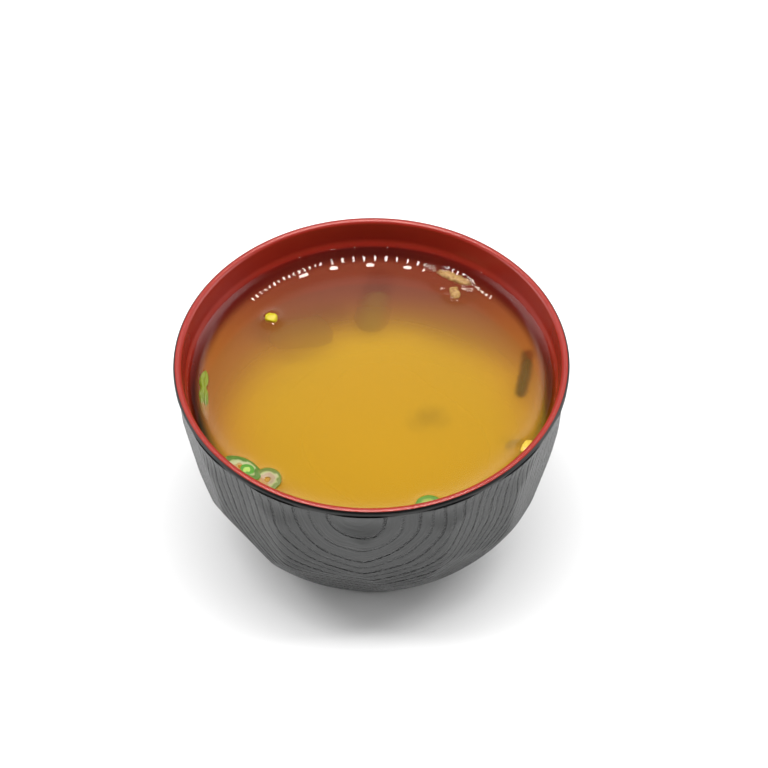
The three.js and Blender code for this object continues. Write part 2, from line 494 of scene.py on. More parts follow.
@dataclass(frozen=True)
class GrainLacquer(Lacquer):
    """Black-grey lacquer over resin that was moulded with the grain of open-pored wood.

    The wall carries the number of the growth ring at each point, and how far apart the rings lie
    there. Along each ring runs a broken line of dark, sunk pores, with a fainter one between the rings.
    """

    name: str = "wood_grain_black_lacquer"
    roughness: float = 0.34
    shine: float = 0.34
    colour: str = "181A19"
    pore: str = "060807"
    uneven: float = 0.08
    first_ring: float = 0.39
    faint_after: float = 0.46
    faint_share: float = 0.3
    pore_width: float = 0.64
    pore_floor: float = 0.15
    pore_depth: float = 0.75
    pore_length: float = 0.75
    bead_edge: tuple[float, float] = (0.4, 0.55)
    between_beads: float = 0.1
    fibre_width: float = 0.06
    fibre_length: float = 7.0
    fibre_depth: float = 0.12

    def shader(self, add: Adder, place: Socket) -> Socket:
        """Adds the two lines of pores in each ring, and the fibres between them.

        Args:
            add: Adds a node to the material's tree.
            place: The point's place in millimetres.

        Returns:
            The shader.
        """
        ring, pitch = (add("Attribute", take="Fac", attribute_name=name) for name in ("ring", "ring_pitch"))
        pores = self.pore_line(add, place, ring, pitch, self.first_ring, 1.0)
        faint = self.pore_line(add, place, ring, pitch, self.first_ring + self.faint_after, self.faint_share)
        line = add("Math:MAXIMUM", (pores, faint))
        fibre = self.fibres(add, place, ring)
        depth = add("Math:MULTIPLY", (line, -self.pore_depth))
        relief = add("Math:MULTIPLY_ADD", (fibre, self.fibre_depth, depth))
        colour = add("Mix:RGBA", {0: line, 6: hex_colour(self.colour), 7: hex_colour(self.pore)}, 2)
        ends = (self.roughness - self.uneven, self.roughness + self.uneven)
        return self.coat(add, colour, add("MapRange", (fibre, 0.0, 1.0, *ends)), relief, 1.0)

    def pore_line(
        self, add: Adder, place: Socket, ring: Socket, pitch: Socket, start: float, share: float
    ) -> Socket:
        """Gives 1 in the pores along each ring and 0 between them, as wide on every part of the wall.

        Args:
            add: Adds a node to the material's tree.
            place: The point's place in millimetres.
            ring: The number of the ring at the point.
            pitch: How far apart the rings lie there, in millimetres.
            start: Where in a ring the line runs.
            share: How deep the line is.

        Returns:
            How deep in a pore the point lies, from 0 to 1.
        """
        folded = add("Math:PINGPONG", (add("Math:SUBTRACT", (ring, start)), 0.5))
        distance = add("Math:MULTIPLY", (folded, pitch))
        line = add(FADE, (distance, self.pore_floor * self.pore_width, self.pore_width, share, 0.0))
        beads = add("TexNoise", {"Vector": place, "Scale": 1.0 / self.pore_length, "Detail": 1.0})
        return add("Math:MULTIPLY", (line, add(FADE, (beads, *self.bead_edge, self.between_beads, 1.0))))

    def fibres(self, add: Adder, place: Socket, ring: Socket) -> Socket:
        """Gives fine streaks that run along the rings.

        Args:
            add: Adds a node to the material's tree.
            place: The point's place in millimetres.
            ring: The number of the ring at the point.

        Returns:
            The streaks, from 0 to 1.
        """
        parts = add("SeparateXYZ", (place,)).node.outputs
        scaled = [
            add("Math:DIVIDE", pair) for pair in (
                (ring, self.fibre_width), (parts["Z"], self.fibre_length), (parts["X"], self.fibre_length),
            )
        ]
        return add("TexNoise", {"Vector": add("CombineXYZ", scaled), "Scale": 1.0, "Detail": 2.0})


@dataclass(frozen=True)
class Film(Finish):
    """What everything cloudy in the bowl has in common: it hides only a share of what is behind it."""

    def film(self, add: Adder, share: Socket, colour: Socket | tuple) -> Socket:
        """Makes a layer that hides a share of what is behind it.

        Args:
            add: Adds a node to the material's tree.
            share: The share.
            colour: The layer's colour.

        Returns:
            The shader.
        """
        return add("MixShader", (share, add("BsdfTransparent"), add("BsdfDiffuse", {"Color": colour})))

    def from_axis(self, add: Adder, place: Socket, axis: Ring) -> Socket:
        """Gives how far a point is from an upright axis.

        Args:
            add: Adds a node to the material's tree.
            place: The point's place in millimetres.
            axis: Where the axis stands.

        Returns:
            The distance in millimetres.
        """
        flat = add("VectorMath:MULTIPLY", (add("VectorMath:SUBTRACT", (place, (*axis, 0.0))), FLAT))
        return add("VectorMath:LENGTH", (flat,), "Value")

    def drifting(self, add: Adder, place: Socket, size: float, swing: float, value: Socket) -> Socket:
        """Lets a value drift up and down from place to place.

        Args:
            add: Adds a node to the material's tree.
            place: The point's place in millimetres.
            size: How far apart its ups and downs are, in millimetres.
            swing: How far it goes up or down.
            value: The value.

        Returns:
            The drifting value.
        """
        drift = add("TexNoise", {"Vector": place, "Scale": 1.0 / size, "Detail": 0.0})
        return add("Math:MULTIPLY_ADD", (add("Math:SUBTRACT", (drift, 0.5)), 2.0 * swing, value))


@dataclass(frozen=True)
class BrothSkin(Film):
    """Clear hot broth: a mirror-smooth surface over a thin veil of miso, tan at the wall and golden
    towards the middle, which lets what is sunk show through. It is clear along the wall. Near the wall
    the veil's colour is partly painted light, the red glow of the lit lacquer under the broth, painted
    darker at the back as painted shade."""

    name: str = "clear_miso_broth"
    # Partly painted light: the wall and back colours carry the red glow of the lit lacquer under the broth,
    # darker at the back as painted shade.
    wall_veil_and_painted_glow: str = "B6702C"
    back_veil_painted_glow_and_shade: str = "90482F"
    middle_veil: str = "B28622"
    opacity: float = 0.4
    far: tuple[float, float] = (8.0, 44.0)
    wall_radius: float = 54.0
    clear_gap: float = 1.9
    veil_gap: float = 5.4
    gold_to_tan: tuple[float, float] = (29.0, 56.0)
    swirl_mm: float = 24.0
    swirl: float = 2.0
    ior: float = 1.33

    def shader(self, add: Adder, place: Socket) -> Socket:
        """Adds the veil and the mirror over it.

        Args:
            add: Adds a node to the material's tree.
            place: The point's place in millimetres.

        Returns:
            The shader.
        """
        radius = self.from_axis(add, place, (0.0, 0.0))
        clear = (self.wall_radius - self.veil_gap, self.wall_radius - self.clear_gap)
        away = self.from_axis(add, place, CLOUD_MIDDLE)
        away = self.drifting(add, place, self.swirl_mm, self.swirl, away)
        gold = add(FADE, (away, *self.gold_to_tan, 1.0, 0.0))
        far = add(FADE, (add("SeparateXYZ", (place,), "Y"), *self.far))
        # Painted light: the edge colour stands in for the red glow of the lit wall under the broth, painted
        # darker towards the back.
        edge = add("Mix:RGBA", {0: far, 6: hex_colour(self.wall_veil_and_painted_glow), 7: hex_colour(self.back_veil_painted_glow_and_shade)}, 2)
        colour = add("Mix:RGBA", {0: gold, 6: edge, 7: hex_colour(self.middle_veil)}, 2)
        even = add("Math:MULTIPLY", (add(FADE, (radius, *clear, 1.0, 0.0)), self.opacity))
        share = add("Math:MULTIPLY", (even, add("Attribute", take="Fac", attribute_name="veil")))
        body = self.film(add, share, colour)
        mirror = add("BsdfAnisotropic", {"Roughness": 0.0})
        return add("MixShader", (add("Fresnel", {"IOR": self.ior}), body, mirror))


@dataclass(frozen=True)
class MisoCloud(Film):
    """Fine miso that hangs in the broth: dense and golden in the middle, thinning out to the wall.

    The cloud's top is a dome, a few millimetres under the level in the middle and deep at the wall,
    and each layer of it grows denser with its depth under that dome.
    """

    name: str = "suspended_miso"
    colour: str = "CAA010"
    level: float = 58.8
    dome_depth: float = 1.0
    edge_depth: float = 22.0
    edge_radius: float = 62.0
    edge_power: float = 3.0
    wander_mm: float = 30.0
    wander: float = 2.4
    thins_over: float = 15.0
    steepness: float = 4.0
    layer_opacity: float = 0.55

    def shader(self, add: Adder, place: Socket) -> Socket:
        """Adds the dome and the density under it.

        Args:
            add: Adds a node to the material's tree.
            place: The point's place in millimetres.

        Returns:
            The shader.
        """
        share = add("Math:DIVIDE", (self.from_axis(add, place, CLOUD_MIDDLE), self.edge_radius))
        bent = add("Math:POWER", (share, self.edge_power))
        dome = add("Math:MULTIPLY_ADD", (bent, self.edge_depth - self.dome_depth, self.dome_depth))
        top = self.drifting(add, place, self.wander_mm, self.wander, dome)
        depth = add("Math:SUBTRACT", (self.level, add("SeparateXYZ", (place,), "Z")))
        under = add("Math:MULTIPLY", (add("Math:SUBTRACT", (depth, top)), self.steepness / self.thins_over))
        half = self.layer_opacity / 2.0
        density = add("Math:MULTIPLY_ADD", (add("Math:TANH", (under,)), half, half))
        return self.film(add, density, hex_colour(self.colour))


@dataclass(frozen=True)
class SettledMiso(Finish):
    """The miso that lies thick in the lower half of the bowl, opaque and a little deeper in colour."""

    name: str = "settled_miso"
    tones: tuple[str, str] = ("B98810", "C2951C")
    grain_mm: float = 18.0

    def shader(self, add: Adder, place: Socket) -> Socket:
        """Adds the drifting golden brown.

        Args:
            add: Adds a node to the material's tree.
            place: The point's place in millimetres.

        Returns:
            The shader.
        """
        colour = self.two_tones(add, place, self.grain_mm, 3.0, self.tones)
        return add("BsdfPrincipled", {"Base Color": colour, "Roughness": 0.9, "Specular IOR Level": 0.1})


@dataclass(frozen=True)
class WetVegetable(Finish):
    """Cut plant flesh, wet from the broth: soft inside, glossy, coloured from its inner to its outer skin.

    The point's skin runs from 0 to 1 through the colours, and is 0 on a piece that doesn't carry it.
    """

    stops: Stops
    roughness: float = 0.3
    fleck: float = 0.16
    fibre_mm: float = 0.35
    relief: float = 0.05

    def shader(self, add: Adder, place: Socket) -> Socket:
        """Adds the flecked colours and the fibres.

        Args:
            add: Adds a node to the material's tree.
            place: The point's place in millimetres.

        Returns:
            The shader.
        """
        skin = add("Attribute", take="Fac", attribute_name="skin")
        fibre = add("TexNoise", {"Vector": place, "Scale": 1.0 / self.fibre_mm, "Detail": 2.0})
        shifted = add("Math:MULTIPLY_ADD", (fibre, self.fleck, skin))
        flecked = add("Math:SUBTRACT", (shifted, self.fleck / 2.0))
        return add("BsdfPrincipled", {
            "Base Color": colour_stops(add("ValToRGB", (flecked,)), self.stops), "Roughness": self.roughness,
            "IOR": 1.4, "Subsurface Weight": 0.25, "Subsurface Scale": 0.4 * MM,
            "Subsurface Radius": (0.6, 1.0, 0.3),
            "Normal": add("Bump", {"Height": fibre, "Distance": self.relief * MM, "Strength": 0.8}),
        })


@dataclass(frozen=True)
class SunkLeaf(Film):
    """Soaked seaweed in cloudy broth: dark olive green, with edges that the miso blurs."""

    tones: tuple[str, str]
    opacity: float
    vein_mm: float = 5.0
    solid_from: float = 0.9

    def shader(self, add: Adder, place: Socket) -> Socket:
        """Adds the greens and the blurred edges.

        Args:
            add: Adds a node to the material's tree.
            place: The point's place in millimetres.

        Returns:
            The shader.
        """
        body = add("Attribute", take="Fac", attribute_name="body")
        seen = add(FADE, (body, 0.0, self.solid_from, 0.0, self.opacity))
        return self.film(add, seen, self.two_tones(add, place, self.vein_mm, 2.0, self.tones))


@dataclass(frozen=True)
class FriedTofuCrumb(Finish):
    """Deep-fried tofu skin: tan and porous, browner in its pores, where the relief is lowest."""

    name: str = "fried_tofu_crumb"
    stops: Stops = ((0.36, "7E5A2C"), (0.6, "A08048"))
    pore_mm: float = 0.7
    pore_depth: float = 0.3

    def shader(self, add: Adder, place: Socket) -> Socket:
        """Adds the pores.

        Args:
            add: Adds a node to the material's tree.
            place: The point's place in millimetres.

        Returns:
            The shader.
        """
        pores = add("TexNoise", {"Vector": place, "Scale": 1.0 / self.pore_mm, "Detail": 3.0})
        return add("BsdfPrincipled", {
            "Base Color": colour_stops(add("ValToRGB", (pores,)), self.stops), "Roughness": 0.45,
            "Normal": add("Bump", {"Height": pores, "Distance": self.pore_depth * MM, "Strength": 0.9}),
        })


@dataclass(frozen=True)
class WhiteLaminate(Finish):
    """Matt white laminate, as on a studio's table top: even, without gloss."""

    name: str = "matt_white_laminate"
    colour: str = "E2E2E2"

    def shader(self, add: Adder, _place: Socket) -> Socket:
        """Adds the even white, whatever the place."""
        return add("BsdfDiffuse", {"Color": hex_colour(self.colour)})


@dataclass(frozen=True)
class LampGlow(Finish):
    """The warm white glow of a small frosted lamp."""

    name: str = "lamp_glow"
    colour: str = "FFEDE6"
    strength: float = 60.0

    def shader(self, add: Adder, _place: Socket) -> Socket:
        """Adds the even glow, whatever the place."""
        return add("Emission", {"Color": hex_colour(self.colour), "Strength": self.strength})


# The bowl


@dataclass(frozen=True)
class Section:
    """A half-section through rounded points, smooth between them."""

    points: tuple[Ring, ...]

    def radius(self, height: float) -> float:
        """Gives the radius at a height, on a curve through the points.

        Args:
            height: Millimetres above the foot's underside.

        Returns:
            The radius in millimetres.
        """
        rising = sorted(self.points, key=lambda ring: ring[1])
        last = len(rising) - 1
        low = max(i for i, ring in enumerate(rising[:-1]) if ring[1] <= height or i == 0)
        before, start, end, after = (rising[min(max(low + k, 0), last)] for k in (-1, 0, 1, 2))
        span = end[1] - start[1]
        slope_in = (end[0] - before[0]) / (end[1] - before[1])
        slope_out = (after[0] - start[0]) / (after[1] - start[1])
        t = (height - start[1]) / span
        return (
            (2 * t**3 - 3 * t**2 + 1) * start[0] + (t**3 - 2 * t**2 + t) * span * slope_in
            + (3 * t**2 - 2 * t**3) * end[0] + (t**3 - t**2) * span * slope_out
        )


@dataclass(frozen=True)
class FlatCuts:
    """Flat cuts evenly round the bowl, or one alone, leaning out by slope for each millimetre of height.

    The first is at azimuth degrees from the front, and the cuts are apothem from the axis at at_height.
    """

    azimuth: float
    apothem: float
    slope: float
    count: int = 1
    at_height: float = 20.0


@dataclass(frozen=True)
class GrowthRings:
    """The growth rings of the moulded wood grain, as the wall shows them.

    They are nested U shapes at the front and again at the back. Their arms run up to the rim, and
    stand upright at the sides, where the rings lie closest.
    """

    axis: float = -4.6
    top: float = 70.0
    arc: float = 0.98
    squareness: float = 2.4
    flatten: float = 0.665
    deepen: float = 4.4e-6
    power: float = 1.6
    spread: float = 73.0
    wander: float = 0.9
    wander_turns: float = 5.0
    wander_rise: float = 55.0
    probe: float = 0.4
    widest: float = 30.0

    def number(self, azimuth: float, height: float) -> float:
        """Gives the ring's number at a point of the wall.

        Args:
            azimuth: Degrees from the front.
            height: Millimetres above the foot's underside.

        Returns:
            The number, which grows by 1 from ring to ring.
        """
        aside = abs((azimuth - self.axis + 90.0) % 180.0 - 90.0) * self.arc
        down = max(self.top - height, 0.0)
        low = self.flatten * down + self.deepen * down**4
        away = (aside**self.squareness + low**self.squareness) ** (1.0 / self.squareness)
        turn = math.radians(azimuth)
        spot = Vector((math.sin(turn), math.cos(turn), height / self.wander_rise)) * self.wander_turns
        return max(away + self.wander * noise.noise(spot), 0.0) ** self.power / self.spread

    def pitch(self, azimuth: float, height: float) -> float:
        """Gives how far apart the rings lie at a point.

        Args:
            azimuth: Degrees from the front.
            height: Millimetres above the foot's underside.

        Returns:
            The distance in millimetres.
        """
        turn = self.probe / self.arc
        aside = self.number(azimuth + turn, height) - self.number(azimuth - turn, height)
        up = self.number(azimuth, height + self.probe) - self.number(azimuth, height - self.probe)
        return min(2.0 * self.probe / max(math.hypot(aside, up), 1e-4), self.widest)


@dataclass
class FacetedBowl:
    """The bowl: a turned shell, cut outside with flat facets, with a lip, a plain band and a foot ring."""

    height: float = 71.0
    rim_radius: float = 57.5
    lip_width: float = 2.4
    lip_rounding: float = 1.0
    lip_steps: int = 16
    black_lip_steps: int = 5
    band_height: float = 2.4
    band_inset: float = 0.45
    band_step: float = 0.25
    band_edge: float = 0.02
    foot_radius: float = 31.0
    foot_height: float = 6.2
    foot_ring_width: float = 3.6
    foot_recess: float = 4.6
    foot_bevel: float = 0.5
    foot_draft: float = 0.6
    foot_fillet: float = 1.0
    foot_corner: float = 0.3
    recess_edge: float = 4.0
    floor_thickness: float = 3.4
    floor_dish: Ring = (8.0, 0.3)
    steps: int = 336
    row_height: float = 0.72
    edge_softness: float = 0.45
    corner_cut: float = 0.22
    least_cosine: float = 0.1
    sharp_from: float = 38.0
    outside: Section = Section((
        (33.6, 6.4), (37.5, 10.0), (40.8, 14.0), (45.8, 20.0), (49.5, 26.0), (52.2, 32.0), (54.2, 38.0),
        (55.3, 44.0), (56.0, 50.0), (56.2, 61.0), (56.6, 65.0), (57.4, 68.6),
    ))
    inside: Section = Section((
        (54.9, 68.0), (54.65, 65.2), (54.45, 63.4), (53.9, 62.2), (53.45, 60.9), (53.1, 58.8), (52.2, 53.0),
        (50.9, 46.5), (49.1, 40.0), (46.7, 33.5), (43.4, 27.0), (39.0, 21.0), (33.2, 16.0), (25.6, 12.2),
        (15.6, 9.4),
    ))
    cuts: tuple[FlatCuts, ...] = (
        FlatCuts(9.67, 52.5, 0.155, count=14, at_height=40.0),
        FlatCuts(-12.2, 45.75, 0.403),
        FlatCuts(31.5, 46.3, 0.367),
        FlatCuts(87.7, 44.9, 0.32),
        FlatCuts(142.6, 44.6, 0.43),
        FlatCuts(-162.5, 45.2, 0.41),
        FlatCuts(-107.6, 44.6, 0.44),
        FlatCuts(-52.8, 44.9, 0.459),
    )
    finishes: tuple[Finish, ...] = (GrainLacquer(), SmoothLacquer(), RedLacquer())
    rings: GrowthRings = GrowthRings()

    def build(self) -> bpy.types.Object:
        """Builds the bowl.

        Returns:
            The piece, which stands for the CAD node bowl.
        """
        skin = self.skin()
        piece = new_piece("lacquered_bowl", *lathe([ring for _, ring in skin], self.steps))
        materials = [finish.make() for finish in self.finishes]
        for material in materials:
            piece.data.materials.append(material)
        self.assign(piece, skin)
        tree = self.flat_cut_tree()
        for cuts in self.cuts:
            run_tree(piece, tree, {
                "Count": float(cuts.count), "Apothem": cuts.apothem * MM, "At Height": cuts.at_height * MM,
                "Slope": cuts.slope, "First At": cuts.azimuth * cuts.count / 360.0,
                "Softness": self.edge_softness * MM, "Corner Cut": self.corner_cut * MM,
                "Material": materials[Region.GRAIN.value],
            })
        settle(piece)
        piece.data.set_sharp_from_angle(angle=math.radians(self.sharp_from))
        return hand_over(piece, "bowl")

    def skin(self) -> list[tuple[Region, Ring]]:
        """Lists the rings of the bowl's closed skin, from the middle underneath to the middle inside.

        Returns:
            Each ring, with the region of the faces that start at it.
        """
        foot, inner = self.foot_radius, self.foot_radius - self.foot_ring_width
        recess, bevel = self.foot_recess, self.foot_bevel
        under = [
            (0.0, recess), (inner - self.recess_edge, recess), (inner - self.foot_fillet, recess),
            (inner, bevel), (inner + bevel, 0.0), (foot - bevel, 0.0), (foot, bevel),
            (foot - self.foot_draft, self.foot_height - self.foot_fillet),
            (foot - self.foot_corner, self.foot_height - self.foot_corner),
        ]
        top = self.height - self.band_height
        start = self.outside.points[0][1]
        rows = evenly(start, top, round((top - start) / self.row_height))
        wall = [(self.outside.radius(z), z) for z in rows]
        shoulder = self.height - self.lip_rounding
        band = self.rim_radius - self.band_inset
        edges = [(band, top + self.band_edge), (band, shoulder - self.band_step)]
        half = self.lip_width / 2.0
        lip = [
            (self.rim_radius - half + half * math.cos(a), shoulder + self.lip_rounding * math.sin(a))
            for a in evenly(0.0, math.pi, self.lip_steps)
        ]
        high, low = self.inside.points[0][1], self.inside.points[-1][1]
        rows = evenly(high, low, round((high - low) / self.row_height))
        bottom = recess + self.floor_thickness
        dish, dish_rise = self.floor_dish
        inner_wall = [*((self.inside.radius(z), z) for z in rows), (dish, bottom + dish_rise), (0.0, bottom)]
        runs = (
            (Region.SMOOTH, under), (Region.GRAIN, wall), (Region.SMOOTH, edges + lip[:self.black_lip_steps]),
            (Region.RED, lip[self.black_lip_steps:] + inner_wall),
        )
        return [(region, ring) for region, rings in runs for ring in rings]

    def assign(self, piece: bpy.types.Object, skin: Sequence[tuple[Region, Ring]]) -> None:
        """Gives each face its region's material, and marks what the flat cuts and the grain reach.

        Args:
            piece: The turned bowl.
            skin: Its rings and their regions.
        """
        piece.data.polygons.foreach_set(
            "material_index", [region.value for region, _ in skin[:-1] for _ in range(self.steps)]
        )
        marks = [
            region is Region.GRAIN
            for region, (radius, _) in skin for _ in range(1 if radius == 0 else self.steps)
        ]
        piece.data.attributes.new("outer_wall", "BOOLEAN", "POINT").data.foreach_set("value", marks)
        numbers = [0.0] * len(marks)
        pitches = [1.0] * len(marks)
        for i, vertex in enumerate(piece.data.vertices):
            if marks[i]:
                x, y, z = vertex.co / MM
                azimuth = math.degrees(math.atan2(x, -y))
                numbers[i] = self.rings.number(azimuth, z)
                pitches[i] = self.rings.pitch(azimuth, z)
        mark(piece, "ring", numbers)
        mark(piece, "ring_pitch", pitches)

    def flat_cut_tree(self) -> bpy.types.NodeTree:
        """Builds the tree that cuts flats into a round wall.

        Each point is folded to the nearest cut, and its radius becomes the lesser of its own and the
        cut plane's, with the edges between them rounded. First At counts in steps between cuts.

        Returns:
            The Geometry Nodes tree.
        """
        tree, add, given = new_tree(
            "flat_cuts", ("Count", "Apothem", "At Height", "Slope", "First At", "Softness", "Corner Cut")
        )
        place = add("InputPosition")
        parts = add("SeparateXYZ", (place,)).node.outputs
        azimuth = add("Math:ARCTAN2", (parts["X"], add("Math:MULTIPLY", (parts["Y"], -1.0))))
        step = add("Math:DIVIDE", (TURN, given["Count"]))
        turns = add("Math:SUBTRACT", (add("Math:DIVIDE", (azimuth, step)), given["First At"]))
        aside = add("Math:SUBTRACT", (turns, add("Math:ROUND", (turns,))))
        angles = (add("Math:MULTIPLY", (aside, step)), add("Math:MULTIPLY", (step, 0.5)))
        rise = add("Math:SUBTRACT", (parts["Z"], given["At Height"]))
        apothem = add("Math:MULTIPLY_ADD", (rise, given["Slope"], given["Apothem"]))
        cosines = (add("Math:MAXIMUM", (add("Math:COSINE", (angle,)), self.least_cosine)) for angle in angles)
        plane, sharp = (add("Math:DIVIDE", (apothem, cosine)) for cosine in cosines)
        corner = add("Math:SUBTRACT", (sharp, given["Corner Cut"]))
        radius = add("VectorMath:LENGTH", (add("VectorMath:MULTIPLY", (place, FLAT)),), "Value")
        softened = add("Math:SMOOTH_MIN", (plane, corner, given["Softness"]))
        cut = add("Math:SMOOTH_MIN", (radius, softened, given["Softness"]))
        ratio = add("Math:DIVIDE", (cut, radius))
        moved = add("VectorMath:MULTIPLY", (place, add("CombineXYZ", (ratio, ratio, 1.0))))
        outer = add("InputNamedAttribute:BOOLEAN", {"Name": "outer_wall"}, "Attribute")
        shaped = add("SetPosition", {"Geometry": given["Geometry"], "Selection": outer, "Position": moved})
        end_tree(add, given["Material"], shaped, outer)
        return tree


# The soup


@dataclass(frozen=True)
class Clearing:
    """Where something hangs close under the surface, so that less miso veils it: its line, how far it
    reaches to each side, and the share of the veil that is left."""

    line: tuple[Ring, ...]
    reach: float
    kept: float
    edge: tuple[float, float] = (0.35, 1.25)

    def veil(self, x: float, y: float) -> float:
        """Gives the share of the veil that is left at a point.

        Args:
            x: Millimetres to the right of the middle.
            y: Millimetres behind the middle.

        Returns:
            The share, from kept on the line to 1 away from it.
        """
        spot = Vector((x, y))
        gap = self.reach * 2.0
        for start, end in zip(map(Vector, self.line), map(Vector, self.line[1:])):
            share = intersect_point_line(spot, start, end)[1]
            gap = min(gap, (spot - start.lerp(end, min(max(share, 0.0), 1.0))).length)
        low, high = (self.reach * part for part in self.edge)
        return self.kept + (1.0 - self.kept) * smoothstep(low, high, gap)


@dataclass
class MisoSoup:
    """The soup: clear broth up to its level, the cloud of miso in it and the thick part under that.

    Each point of wetting is the place of a floating piece and how far it reaches. The liquid climbs
    the wall by rise and each of these by climb.
    """

    bowl: FacetedBowl
    wetting: tuple[Point, ...]
    clearings: tuple[Clearing, ...]
    level: float = 58.8
    rise: float = 3.3
    reach: float = 2.4
    climb: float = 0.3
    climb_reach: float = 0.8
    climb_fades: tuple[float, float] = (1.0, 3.0)
    into_wall: float = 0.05
    steps: int = 240
    fine_rows: tuple[int, float] = (60, 0.25)
    coarse_rows: tuple[int, float] = (31, 1.2)
    least_radius: float = 0.8
    wall_rows: int = 60
    settled_wall_rows: int = 40
    layer_depths: tuple[float, ...] = (2.6, 4.8, 7.6, 11.0, 15.0, 19.0)
    layer_rows: int = 12
    settled_depth: float = 23.0
    settled_rows: int = 30
    heap_height: float = 0.6
    heap_mm: float = 14.0
    heap_fades: float = 6.0

    def edge(self) -> float:
        """Gives the radius where the surface meets the wall, just inside the wall."""
        return self.wall_radius(self.level + self.rise)

    def wall_radius(self, height: float) -> float:
        """Gives the radius just inside the wall at a height."""
        return self.bowl.inside.radius(height) + self.into_wall

    def surface(self, radius: float) -> float:
        """Gives the surface's height: flat, and rising to the wall."""
        return self.level + self.rise * math.exp(-(self.edge() - radius) / self.reach)

    def against_wall(self, top: float, rows: int) -> list[Ring]:
        """Gives the rings of what lies against the bowl, from its middle up to a height.

        Args:
            top: The height.
            rows: Rows up the wall.

        Returns:
            The rings.
        """
        floor = self.bowl.foot_recess + self.bowl.floor_thickness - self.into_wall
        heights = evenly(self.bowl.inside.points[-1][1], top, rows)
        return [(0.0, floor), *((self.wall_radius(z), z) for z in heights)]

    def build(self) -> list[bpy.types.Object]:
        """Builds the broth, its cloud and the settled miso."""
        return [self.broth(), self.cloud(), self.settled()]

    def wet_place(self, radius: float, azimuth: float, height: float) -> Point:
        """Places a point of the broth, raised where the liquid climbs a floating piece.

        Args:
            radius: The point's distance from the axis.
            azimuth: Its radians from the front.
            height: Its height before the rise.

        Returns:
            The point.
        """
        x, y, _ = polar(radius, azimuth)
        climb = 0.0
        if height >= self.level:
            for at_x, at_y, reach in self.wetting:
                gap = math.hypot(x - at_x, y - at_y) - reach
                climb = max(climb, self.climb * math.exp(-max(gap, 0.0) / self.climb_reach))
            climb *= smoothstep(*self.climb_fades, self.edge() - radius)
        return (x, y, height + climb)

    def broth(self) -> bpy.types.Object:
        """Builds the broth as one closed body, with the rise at the wall and round each floating piece.

        Returns:
            The piece, which stands for the CAD node soup.
        """
        edge = self.edge()
        fine = [self.fine_rows[1] * k for k in range(1, self.fine_rows[0] + 1)]
        coarse = [fine[-1] + self.coarse_rows[1] * k for k in range(1, self.coarse_rows[0] + 1)]
        radii = [edge - gap for gap in fine + coarse if edge - gap > self.least_radius]
        over = [(radius, self.surface(radius)) for radius in radii]
        rings = [*self.against_wall(self.surface(edge), self.wall_rows), *over, (0.0, self.level)]
        vertices, faces = lathe(rings, self.steps, self.wet_place)
        piece = new_piece("miso_broth", vertices, faces)
        mark(piece, "veil", [min(clearing.veil(x, y) for clearing in self.clearings) for x, y, _ in vertices])
        return hand_over(piece, "soup", BrothSkin().make())

    def cloud(self) -> bpy.types.Object:
        """Builds the cloud as level sheets, the deepest first so that they blend in order.

        Returns:
            The piece.
        """
        sheets = []
        for height in sorted(self.level - depth for depth in self.layer_depths):
            radii = evenly(self.wall_radius(height), 0.0, self.layer_rows)
            sheets.append(lathe([(radius, height) for radius in radii], self.steps // 2))
        piece = new_piece("miso_cloud", *merge(sheets))
        return hand_over(piece, finish=MisoCloud(level=self.level).make())

    def settled(self) -> bpy.types.Object:
        """Builds the thick miso in the lower part of the bowl, with a low uneven top.

        Returns:
            The piece.
        """
        top = self.level - self.settled_depth
        wall = self.against_wall(top, self.settled_wall_rows)
        reach = wall[-1][0]

        def heap(radius: float, azimuth: float, height: float) -> Point:
            x, y, _ = polar(radius, azimuth)
            lift = 0.0
            if height == top and radius < reach:
                lift = self.heap_height * noise.noise(Vector((x, y, 0.0)) / self.heap_mm)
                lift *= smoothstep(reach, reach - self.heap_fades, radius)
            return (x, y, height + lift)

        over = [(radius, top) for radius in evenly(reach, 0.0, self.settled_rows)[1:]]
        piece = new_piece("settled_miso", *lathe([*wall, *over], self.steps // 2, heap))
        return hand_over(piece, finish=SettledMiso().make())


# What floats and what is sunk


@dataclass(frozen=True, kw_only=True)
class Afloat:
    """A floating piece: the CAD node that it stands for, its material slot, where its middle lies, how
    far it stands out of the soup, how it is turned and tilted, and the seed of its unevenness."""

    node: str
    slot: str
    radius: float
    azimuth: float
    lift: float
    turn: float
    tilt: float
    seed: int

    def reach(self) -> float:
        """Gives how far the piece reaches from its middle."""
        raise NotImplementedError

    def footprint(self) -> Point:
        """Gives where the piece's middle is, seen from above, and how far it reaches."""
        return (*polar(self.radius, math.radians(self.azimuth))[:2], self.reach())

    def lying(self, surface: float) -> Matrix:
        """Gives the turn and the move that lay the piece on the soup.

        Args:
            surface: The soup's height there, in millimetres.

        Returns:
            The matrix, with its move in millimetres.
        """
        centre = Vector(polar(self.radius, math.radians(self.azimuth), surface + self.lift))
        turn = Matrix.Rotation(math.radians(self.turn), 4, "Z")
        return Matrix.Translation(centre) @ turn @ Matrix.Rotation(math.radians(self.tilt), 4, "X")


@dataclass(frozen=True, kw_only=True)
class StalkSlice(Afloat):
    """One slice of a scallion stalk: rings of thin layers, oval where it was cut aslant."""

    outer: float
    wall: float
    height: float
    stretch: float
    layers: int
    stops: Stops
    slot: str = "scallion"

    def reach(self) -> float:
        """Gives how far the slice reaches from its middle."""
        return self.outer


@dataclass(frozen=True, kw_only=True)
class Lump(Afloat):
    """One soft-edged bit between an egg (power 2) and a block (a high power), and its finish."""

    size: Point
    power: float
    roughness: float
    finish: Finish
    slot: str = "yellow_bit"

    def reach(self) -> float:
        """Gives how far the bit reaches from its middle."""
        return max(self.size[:2]) / 2.0


